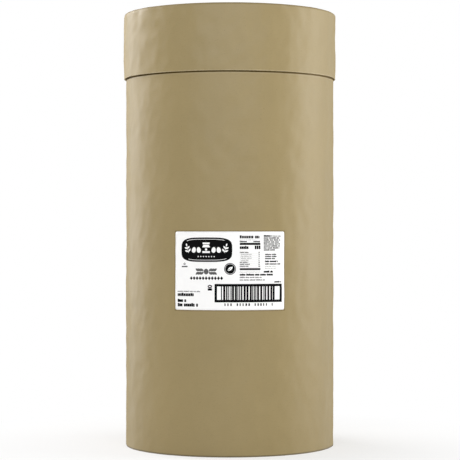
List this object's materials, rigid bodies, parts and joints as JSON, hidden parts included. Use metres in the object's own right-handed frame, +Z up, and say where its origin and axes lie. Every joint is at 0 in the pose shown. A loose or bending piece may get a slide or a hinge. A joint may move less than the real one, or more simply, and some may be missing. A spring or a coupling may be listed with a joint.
{
  "type": "mayonnaise drum",
  "caption": "Tall straight-walled kraft fibre drum that holds bulk mayonnaise, shut by a deep slip-on lid with a rolled rim, with a white paper label on its front.",
  "frame": {"origin": "centre of the foot ring, on the surface that the drum stands on", "axes": "+Z up the drum's axis; the label faces -Y, and +X is to the right of someone who looks at the label"},
  "size_m": [0.4114, 0.4114, 0.8346],
  "materials": {
    "drum_board": "smooth calendered kraft board with a soft satin sheen and shallow unevenness",
    "lid_board": "smooth calendered kraft board with a soft satin sheen and shallow unevenness",
    "label_paper": "bright white coated label paper",
    "label_ink": "flat black printing ink"
  },
  "bodies": {
    "root": {"drum": "drum_board", "lid": "lid_board", "label": "label_paper"}
  },
  "joints": []
}
